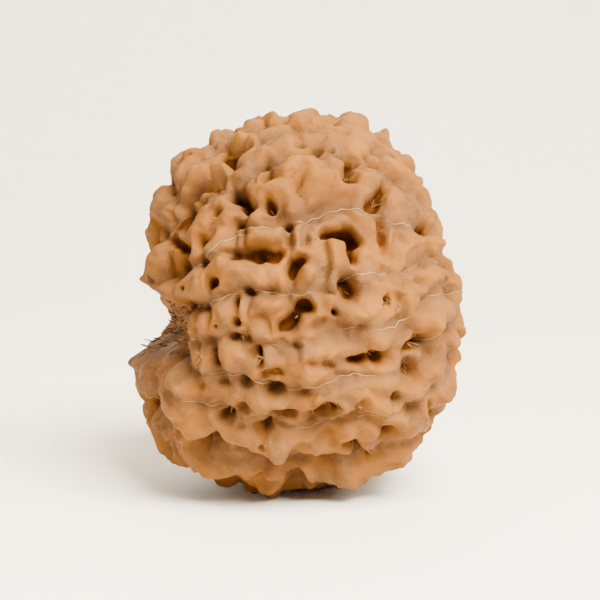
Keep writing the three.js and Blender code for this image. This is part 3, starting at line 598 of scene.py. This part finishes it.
def relief(u, p):
    """Height over the plain body, its level without pits, and how much is carved and near a seam."""
    from_stem = np.degrees(np.arccos(np.clip(-(u @ AXIS), -1, 1)))
    turn = np.degrees(np.arctan2(u @ UPPER, u @ FRONT))
    ring = np.linalg.norm(p, axis=1) * np.sin(np.radians(from_stem))
    before = np.full(len(u), 360.0)
    after = np.full(len(u), 360.0)
    for seam in SEAMS:
        gap = (seam_angle(seam, from_stem) - turn) % 360
        after = np.minimum(after, gap)
        before = np.minimum(before, 360 - gap)
    share = before / (before + after)
    to_seam = np.radians(np.minimum(before, after)) * ring
    ends = smooth(*SEAM_FADE, ring)
    reach = np.maximum(VALLEY_REACH[0] + VALLEY_REACH[1] * wave_sum(LOBES, p), LEAST_REACH)
    dip = 1 - smooth(reach - VALLEY_FLOOR, reach + VALLEY_SIDE, to_seam)
    height = ends * (FACE_SWELL * (4 * share * (1 - share) - 0.5) - VALLEY_DEPTH * dip)
    bent = p + BEND_SIZE * np.stack([wave_sum(b, p) for b in BENDS], axis=1)
    raised = np.zeros(len(u))
    for s in KNOBS_LAID:
        t = stroke_distance(s, bent) / s[2]
        raised = np.maximum(raised, s[3] * (1 - (t / KNOB_EDGE) ** KNOB_ROUNDNESS))
    lumps = np.hypot(wave_sum(RIPPLES, bent), CREASE_WIDTH) - MEAN_RISE
    height += WAVE_HEIGHT * wave_sum(WAVES, p) + RIPPLE_HEIGHT * lumps * np.maximum(0, 1 - raised)
    creases = np.hypot(wave_sum(FINE_WAVES, bent), FINE_CREASE) - MEAN_RISE
    height += FINE_HEIGHT * creases
    carved = np.zeros(len(u))
    for s in PITS:
        t = np.minimum(stroke_distance(s, bent) / s[2], PIT_REACH)
        carved += s[3] * (falloff(PIT_WALL, t) + falloff(PIT_RIM, t))
    level = height + KNOB_LEVEL * raised
    height += KNOB_LIFT * raised - DEEPEST * (1 - np.exp(-carved / DEEPENING))
    near_seam = np.exp(-((to_seam / DUST_REACH) ** 2)) * ends
    return height, level, carved - KNOB_CARVED * raised, near_seam


def surface(u):
    """Points of the finished skin along unit directions, in millimetres over the ground."""
    p = u * body_radius(u)[:, None]
    down = np.where(p[:, 2] < 0, np.hypot(p[:, 0], p[:, 1]), 2 * FLAT_SPOT_RADII[1])
    fade = smooth(*FLAT_SPOT_RADII, down)
    height, level, carved, near_seam = relief(u, p)
    height = height * fade + FLAT_SPOT_HEIGHT * (1 - fade)
    q = p + u * height[:, None]
    q[:, 2] = np.maximum(q[:, 2] + CENTRE_HEIGHT, 0.0)
    return q, level * fade, carved, near_seam


def colour(name, description, value):
    return FloatVectorProperty(
        name=name, description=description, default=value, size=3, min=0.0, max=1.0, subtype="COLOR"
    )


class SeedStoneSettings(bpy.types.PropertyGroup):
    """Sizes and colours of the stone's skin"""

    fineness: IntProperty(
        name="Fineness", description="Subdivisions of the ball that becomes the skin", default=8,
        min=5, max=8,
    )
    kept: FloatProperty(
        name="Kept", description="Share of the skin's faces that is kept", default=0.55,
        min=0.1, max=1.0, subtype="FACTOR",
    )
    pale: colour("Pale", "Paler colour of the shell", (0.210, 0.081, 0.015))
    deep: colour("Deep", "Deeper colour of the shell", (0.126, 0.047, 0.0105))
    dull_pale: colour("Dull pale", "Paler colour of the dusty patches", (0.135, 0.066, 0.026))
    dull_deep: colour("Dull deep", "Deeper colour of the dusty patches", (0.072, 0.033, 0.013))
    dust_pale: colour("Dust pale", "Paler colour of the dust along the seams", (0.165, 0.090, 0.040))
    dust_deep: colour("Dust deep", "Deeper colour of the dust along the seams", (0.098, 0.052, 0.023))
    # Painted shade: darker colours laid on the low places, where shade falls
    hollow_shade_pale: colour("Hollow pale", "Paler colour of low places", (0.103, 0.043, 0.016))
    hollow_shade_deep: colour("Hollow deep", "Deeper colour of low places", (0.058, 0.024, 0.009))
    speck: colour("Specks", "Colour of the small pale specks", (0.20, 0.125, 0.068))
    # Painted shade in the pits, partly their own darker brown
    pit_shade_pale: colour("Pit pale", "Paler colour in the pits", (0.070, 0.021, 0.005))
    pit_shade_deep: colour("Pit deep", "Deeper colour in the pits", (0.022, 0.0065, 0.0015))


class SeedThreadSettings(bpy.types.PropertyGroup):
    """Sizes and colours of the threads in the seams"""

    radius: FloatProperty(
        name="Radius", description="Radius of the threads in the seams", default=0.000042, min=0.0,
        precision=6, subtype="DISTANCE", unit="LENGTH",
    )
    pale: colour("Pale", "Paler colour of the threads", (0.28, 0.185, 0.105))
    deep: colour("Deep", "Deeper colour of the threads", (0.17, 0.09, 0.042))


class SeedFibreSettings(bpy.types.PropertyGroup):
    """Sizes and colours of the loose fibres"""

    radius: FloatProperty(
        name="Radius", description="Radius of the loose fibres", default=0.00006, min=0.0,
        precision=6, subtype="DISTANCE", unit="LENGTH",
    )
    stem_count: IntProperty(
        name="Stem fibres", description="Fibres in the notch at the stem end", default=340,
        min=0, max=2000,
    )
    pale: colour("Pale", "Paler colour of the fibres", (0.25, 0.12, 0.045))
    deep: colour("Deep", "Deeper colour of the fibres", (0.08, 0.03, 0.010))


class SeedStageSettings(bpy.types.PropertyGroup):
    """Sizes and colours of the floor and the lights"""

    floor: colour("Floor", "Colour of the floor", (0.92, 0.89, 0.84))
    lamp: colour("Lamps", "Colour of the lamps", (1.0, 0.92, 0.75))
    glow: colour("Glow", "Colour of the lamp behind", (1.0, 0.74, 0.40))
    air: colour("Air", "Colour of the light from all round", (1.0, 0.985, 0.96))
    power: FloatProperty(
        name="Power", description="Power of the main lamp", default=9.0, min=0.0, unit="POWER"
    )
    air_strength: FloatProperty(
        name="Air strength", description="Strength of the light from all round", default=0.45, min=0.0
    )


def link(name, mesh):
    piece = bpy.data.objects.new(name, mesh)
    bpy.context.scene.collection.objects.link(piece)
    return piece


def shade_smooth(mesh):
    mesh.polygons.foreach_set("use_smooth", np.ones(len(mesh.polygons), dtype=bool))


def tubes(name, paths, radius, sides):
    """One mesh of round strands, each path a list of points in millimetres with its own taper."""
    curve = bpy.data.curves.new(name, "CURVE")
    curve.dimensions = "3D"
    curve.bevel_depth = radius
    curve.bevel_resolution = sides
    curve.use_fill_caps = True
    for points, tapers in paths:
        spline = curve.splines.new("POLY")
        spline.points.add(len(points) - 1)
        for slot, place, taper in zip(spline.points, points, tapers):
            slot.co = (place[0] * MM, place[1] * MM, max(place[2], STRAND_FLOOR) * MM, 1.0)
            slot.radius = float(taper)
    source = bpy.data.objects.new(name + "_paths", curve)
    bpy.context.scene.collection.objects.link(source)
    bpy.context.view_layer.update()
    mesh = bpy.data.meshes.new_from_object(source.evaluated_get(bpy.context.evaluated_depsgraph_get()))
    bpy.data.objects.remove(source)
    bpy.data.curves.remove(curve)
    mesh.name = name
    shade_smooth(mesh)
    return link(name, mesh)


def thread_paths():
    """Paths and widths of the broken threads along the bottoms of the seams."""
    paths = []
    from_stem = np.arange(*THREAD_ANGLES, THREAD_STEP)
    for k, seam in enumerate(SEAMS):
        strength = THREAD_STRENGTHS[k] if k < len(THREAD_STRENGTHS) else OTHER_STRENGTH
        size, rate, shift = THREAD_WANDER
        turn = seam_angle(seam, from_stem) + size * np.sin(from_stem * rate + seam[1] * shift)
        u = np.concatenate([direction_at(a, b) for a, b in zip(from_stem, turn)])
        q = surface(u)[0] + u * THREAD_LIFT
        mean, by_ripples, by_waves = THREAD_WIDTH
        width = mean + by_ripples * wave_sum(RIPPLES, q) + by_waves * wave_sum(WAVES, q)
        width = width * strength * (1 - THREAD_FADED * smooth(*THREAD_FADE, from_stem))
        paths.append((q, np.clip(width, *THREAD_WIDTHS)))
    return paths


def fibre(draws, base, out, length):
    """One bent fibre from a place on the skin: its points and its tapers."""
    side = np.cross(out, (draws.between(-1, 1), draws.between(-1, 1), draws.between(-1, 1)))
    side = side / max(np.linalg.norm(side), 1e-6)
    points = [base - out * FIBRE_ROOT]
    heading = out + side * draws.between(*FIBRE_LEANS)
    curl = np.cross(heading, side) * draws.between(-FIBRE_CURL, FIBRE_CURL)
    steps = len(FIBRE_TAPERS) - 1
    for _ in range(steps):
        heading = heading + curl
        points.append(points[-1] + heading / np.linalg.norm(heading) * (length + FIBRE_ROOT) / steps)
    return np.array(points), FIBRE_TAPERS


def fibre_paths(stem_count):
    """Loose fibres in the pits and across the notch at the stem end."""
    draws = Draws(FIBRE_SEED)

    def shake():
        return np.array([draws.between(-FIBRE_SPREAD, FIBRE_SPREAD) for _ in range(3)])

    roots = []
    lengths = []
    for across, up, count, length in FIBRE_PITS:
        centre = place_seen(across, up)
        for _ in range(count):
            roots.append(centre + shake())
            lengths.append(length * draws.between(*FIBRE_LENGTH_SHARES))
    for a, run, _, size in PITS[len(ROUND_PITS) + len(SLOTS):]:
        if size > DRAWN_FIBRE_DEPTH and draws.next() < DRAWN_FIBRE_SHARE:
            for _ in range(int(draws.between(*DRAWN_FIBRE_COUNTS))):
                roots.append(a + run * draws.next() + shake())
                lengths.append(draws.between(*DRAWN_FIBRE_LENGTHS))
    for _ in range(stem_count):
        along, across = (draws.between(-half, half) for half in STEM_HALF_SIZES)
        roots.append(-AXIS * NOTCH_LEVEL + FRONT * along + UPPER * across)
        lengths.append(draws.between(*STEM_LENGTHS))
    u = np.array(roots)
    u /= np.linalg.norm(u, axis=1)[:, None]
    q = surface(u)[0]
    return [fibre(draws, base, out, length) for base, out, length in zip(q, u, lengths)]


def mottle_group():
    """Node group: a noise of the object's own space as a mask and as a blend of two colours."""
    name = "mottle"
    if name in bpy.data.node_groups:
        return bpy.data.node_groups[name]
    group = bpy.data.node_groups.new(name, "ShaderNodeTree")
    for label, kind in (("Scale", "Float"), ("Detail", "Float"), ("Low", "Float"), ("High", "Float"),
                        ("Deep", "Color"), ("Pale", "Color")):
        group.interface.new_socket(label, in_out="INPUT", socket_type="NodeSocket" + kind)
    group.interface.new_socket("Color", in_out="OUTPUT", socket_type="NodeSocketColor")
    group.interface.new_socket("Mask", in_out="OUTPUT", socket_type="NodeSocketFloat")
    nodes, links = group.nodes, group.links
    given = nodes.new("NodeGroupInput")
    out = nodes.new("NodeGroupOutput")
    coord = nodes.new("ShaderNodeTexCoord")
    noise = nodes.new("ShaderNodeTexNoise")
    stretch = nodes.new("ShaderNodeMapRange")
    blend = nodes.new("ShaderNodeMix")
    blend.data_type = "RGBA"
    links.new(coord.outputs["Object"], noise.inputs["Vector"])
    links.new(given.outputs["Scale"], noise.inputs["Scale"])
    links.new(given.outputs["Detail"], noise.inputs["Detail"])
    links.new(noise.outputs["Fac"], stretch.inputs["Value"])
    links.new(given.outputs["Low"], stretch.inputs["From Min"])
    links.new(given.outputs["High"], stretch.inputs["From Max"])
    links.new(stretch.outputs["Result"], blend.inputs["Factor"])
    links.new(given.outputs["Deep"], blend.inputs["A"])
    links.new(given.outputs["Pale"], blend.inputs["B"])
    links.new(blend.outputs["Result"], out.inputs["Color"])
    links.new(stretch.outputs["Result"], out.inputs["Mask"])
    return group


class Paint:
    """Short names for the nodes of one material."""

    def __init__(self, name):
        self.mat = bpy.data.materials.new(name)
        self.mat.use_nodes = True
        self.nodes = self.mat.node_tree.nodes
        self.links = self.mat.node_tree.links
        self.shader = self.nodes["Principled BSDF"]

    def mottle(self, mottle, deep=(0, 0, 0), pale=(1, 1, 1)):
        node = self.nodes.new("ShaderNodeGroup")
        node.node_tree = mottle_group()
        labels = ("Scale", "Detail", "Low", "High", "Deep", "Pale")
        for label, value in zip(labels, (*mottle, (*deep, 1), (*pale, 1))):
            node.inputs[label].default_value = value
        return node.outputs

    def attribute(self, name):
        node = self.nodes.new("ShaderNodeAttribute")
        node.attribute_name = name
        return node.outputs["Fac"]

    def stretch(self, value, start, end=(0.0, 1.0)):
        node = self.nodes.new("ShaderNodeMapRange")
        for label, number in zip(("From Min", "From Max", "To Min", "To Max"), (*start, *end)):
            node.inputs[label].default_value = number
        self.links.new(value, node.inputs["Value"])
        return node.outputs["Result"]

    def times(self, a, b):
        node = self.nodes.new("ShaderNodeMath")
        node.operation = "MULTIPLY"
        self.links.new(a, node.inputs[0])
        self.links.new(b, node.inputs[1])
        return node.outputs["Value"]

    def bump(self, height, strength, distance, under=None):
        node = self.nodes.new("ShaderNodeBump")
        node.inputs["Strength"].default_value = strength
        node.inputs["Distance"].default_value = distance
        self.links.new(height, node.inputs["Height"])
        if under is not None:
            self.links.new(under, node.inputs["Normal"])
        return node.outputs["Normal"]

    def mix(self, factor, a, b):
        node = self.nodes.new("ShaderNodeMix")
        node.data_type = "RGBA"
        for label, value in (("Factor", factor), ("A", a), ("B", b)):
            self.links.new(value, node.inputs[label])
        return node.outputs["Result"]


def stone_material(values):
    """Shell with dusty patches and seams, and painted shade that darkens the low places and the pits."""
    paint = Paint("stone_skin")
    shell = paint.mottle(SHELL_MOTTLE, values.deep, values.pale)["Color"]
    dust = paint.mottle(DUST_MOTTLE, values.dust_deep, values.dust_pale)["Color"]
    dusty = paint.times(paint.attribute("seam"), paint.mottle(DUSTY_MOTTLE)["Mask"])
    dull = paint.mottle(DULL_MOTTLE, values.dull_deep, values.dull_pale)["Color"]
    patches = paint.stretch(paint.mottle(PATCH_MOTTLE)["Mask"], MASK, PATCH_STRENGTH)
    # Painted shade: darker colours for the low places, by their level
    painted_hollow_shade = paint.mottle(HOLLOW_SHADE_MOTTLE, values.hollow_shade_deep, values.hollow_shade_pale)["Color"]
    low = paint.stretch(paint.attribute("level"), HOLLOW_SHADE_LEVELS)
    # Painted shade in the pits, partly their own darker brown
    pit = paint.mottle(PIT_SHADE_MOTTLE, values.pit_shade_deep, values.pit_shade_pale)["Color"]
    carved = paint.attribute("carved")
    specks = paint.times(paint.mottle(SPECK_MOTTLE)["Mask"], patches)
    speck = paint.mottle(SPECK_MOTTLE, values.speck, values.speck)["Color"]
    base = paint.mix(patches, paint.mix(dusty, shell, dust), dull)
    # Painted shade laid over the low places, on top of shell, dust and specks
    base = paint.mix(low, paint.mix(specks, base, speck), painted_hollow_shade)
    # Painted shade laid into the pits by their carved depth
    base = paint.mix(paint.stretch(carved, PIT_SHADE_DEPTHS), base, pit)
    rough = paint.stretch(paint.mottle(ROUGH_MOTTLE)["Mask"], MASK, ROUGHNESS)
    grain = None
    for mottle, strength, height in GRAINS:
        grain = paint.bump(paint.mottle(mottle)["Mask"], strength, height, grain)
    shader = paint.shader
    paint.links.new(base, shader.inputs["Base Color"])
    paint.links.new(rough, shader.inputs["Roughness"])
    paint.links.new(paint.stretch(carved, SHEEN_DEPTHS, SHEEN), shader.inputs["Specular IOR Level"])
    paint.links.new(grain, shader.inputs["Normal"])
    shader.inputs["Subsurface Weight"].default_value = THROUGH_SHARE
    shader.inputs["Subsurface Radius"].default_value = THROUGH_REACH
    shader.inputs["Subsurface Scale"].default_value = 1.0
    return paint.mat


def strand_material(name, values):
    paint = Paint(name)
    strand = paint.mottle(STRAND_MOTTLE, values.deep, values.pale)["Color"]
    paint.links.new(strand, paint.shader.inputs["Base Color"])
    paint.shader.inputs["Roughness"].default_value = STRAND_ROUGHNESS
    paint.shader.inputs["Specular IOR Level"].default_value = STRAND_SHEEN
    return paint.mat


class SEED_OT_stone(bpy.types.Operator):
    """Build the skin of the stone with its pits, knobs, seams and notch"""

    bl_idname = "seed.stone"
    bl_label = "Stone"

    def execute(self, context):
        values = context.scene.seed_stone
        bm = bmesh.new()
        bmesh.ops.create_icosphere(bm, subdivisions=values.fineness, radius=1.0)
        mesh = bpy.data.meshes.new("stone_fine")
        bm.to_mesh(mesh)
        bm.free()
        co = np.empty(len(mesh.vertices) * 3)
        mesh.vertices.foreach_get("co", co)
        u = co.reshape(-1, 3)
        u /= np.linalg.norm(u, axis=1)[:, None]
        q, level, carved, near_seam = surface(u)
        mesh.vertices.foreach_set("co", (q * MM).ravel())
        # level sets the painted shade of low places, carved the painted shade and sheen of the pits, seam
        # the dust
        for name, amounts in (("level", level), ("carved", carved), ("seam", near_seam)):
            layer = mesh.attributes.new(name, "FLOAT", "POINT")
            layer.data.foreach_set("value", amounts.astype(np.float32))
        shade_smooth(mesh)
        mesh.update()
        piece = link("stone_fine", mesh)
        thin = piece.modifiers.new("Thin out flat areas", "DECIMATE")
        thin.ratio = values.kept
        mesh.materials.append(stone_material(values))
        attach(piece, "root")
        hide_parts(NODE)
        return {"FINISHED"}


class SEED_OT_threads(bpy.types.Operator):
    """Lay the pale broken threads along the bottoms of the seams"""

    bl_idname = "seed.threads"
    bl_label = "Seam threads"

    def execute(self, context):
        values = context.scene.seed_threads
        piece = tubes("seam_threads", thread_paths(), values.radius, 1)
        piece.data.materials.append(strand_material("thread", values))
        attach(piece, "root")
        return {"FINISHED"}


class SEED_OT_fibres(bpy.types.Operator):
    """Set the loose fibres in the pits and in the notch at the stem end"""

    bl_idname = "seed.fibres"
    bl_label = "Loose fibres"

    def execute(self, context):
        values = context.scene.seed_fibres
        piece = tubes("loose_fibres", fibre_paths(values.stem_count), values.radius, 0)
        piece.data.materials.append(strand_material("fibre", values))
        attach(piece, "root")
        return {"FINISHED"}


class SEED_OT_stage(bpy.types.Operator):
    """Set up the plain floor, the soft lamps and the camera"""

    bl_idname = "seed.stage"
    bl_label = "Stage"

    def execute(self, context):
        values = context.scene.seed_stage
        bm = bmesh.new()
        bmesh.ops.create_grid(bm, x_segments=1, y_segments=SWEEP_ROWS, size=SWEEP_SIZE)
        for v in bm.verts:
            turned = min(max(v.co.y - SWEEP_START, 0.0) / SWEEP_RADIUS, math.pi / 2)
            risen = max(v.co.y - SWEEP_START - SWEEP_RADIUS * math.pi / 2, 0.0)
            v.co.y = min(v.co.y, SWEEP_START) + SWEEP_RADIUS * math.sin(turned)
            v.co.z = SWEEP_RADIUS * (1 - math.cos(turned)) + risen
        mesh = bpy.data.meshes.new("floor")
        bm.to_mesh(mesh)
        bm.free()
        shade_smooth(mesh)
        floor = link("floor", mesh)
        paint = Paint("floor_pale")
        paint.shader.inputs["Base Color"].default_value = (*values.floor, 1)
        paint.shader.inputs["Roughness"].default_value = FLOOR_ROUGHNESS
        mesh.materials.append(paint.mat)
        world = bpy.data.worlds.new("studio")
        world.use_nodes = True
        world.node_tree.nodes["Background"].inputs["Color"].default_value = (*values.air, 1)
        world.node_tree.nodes["Background"].inputs["Strength"].default_value = values.air_strength
        context.scene.world = world
        centre = Vector((0, 0, CENTRE_HEIGHT * MM))
        for name, place, size, share in LAMPS:
            lamp = bpy.data.lights.new(name, "AREA")
            lamp.size = size
            lamp.energy = values.power * share
            lamp.color = values.glow if name == "back" else values.lamp
            self.aim(context, name, lamp, Vector(place), centre)
        camera = bpy.data.cameras.new("camera")
        camera.angle = 2 * math.atan(VIEW_WIDTH / 2 / VIEW_DISTANCE)
        eye = centre + Vector(TO_VIEWER * VIEW_DISTANCE * MM)
        context.scene.camera = self.aim(context, "camera", camera, eye, centre)
        return {"FINISHED"}

    def aim(self, context, name, data, place, target):
        thing = bpy.data.objects.new(name, data)
        thing.location = place
        thing.rotation_euler = (target - place).to_track_quat("-Z", "Y").to_euler()
        context.scene.collection.objects.link(thing)
        return thing


class SEED_PT_panel(bpy.types.Panel):
    """Everything that builds the seed"""

    bl_idname = "SEED_PT_panel"
    bl_label = "Rudraksha seed"
    bl_space_type = "VIEW_3D"
    bl_region_type = "UI"
    bl_category = "Seed"

    def draw(self, context):
        for operator, name in STEPS:
            box = self.layout.box()
            box.operator(operator.bl_idname)
            values = getattr(context.scene, name)
            for key in values.__annotations__:
                box.prop(values, key)


STEPS = (
    (SEED_OT_stone, "seed_stone"),
    (SEED_OT_threads, "seed_threads"),
    (SEED_OT_fibres, "seed_fibres"),
    (SEED_OT_stage, "seed_stage"),
)
SETTINGS = (SeedStoneSettings, SeedThreadSettings, SeedFibreSettings, SeedStageSettings)
CLASSES = (*SETTINGS, *(operator for operator, _ in STEPS), SEED_PT_panel)


def register():
    for cls in CLASSES:
        bpy.utils.register_class(cls)
    for (_, name), settings in zip(STEPS, SETTINGS):
        setattr(bpy.types.Scene, name, PointerProperty(type=settings))


def unregister():
    for _, name in STEPS:
        delattr(bpy.types.Scene, name)
    for cls in reversed(CLASSES):
        bpy.utils.unregister_class(cls)


def main():
    register()
    bpy.ops.seed.stone()
    bpy.ops.seed.threads()
    bpy.ops.seed.fibres()
    bpy.ops.seed.stage()


if __name__ == "__main__":
    main()
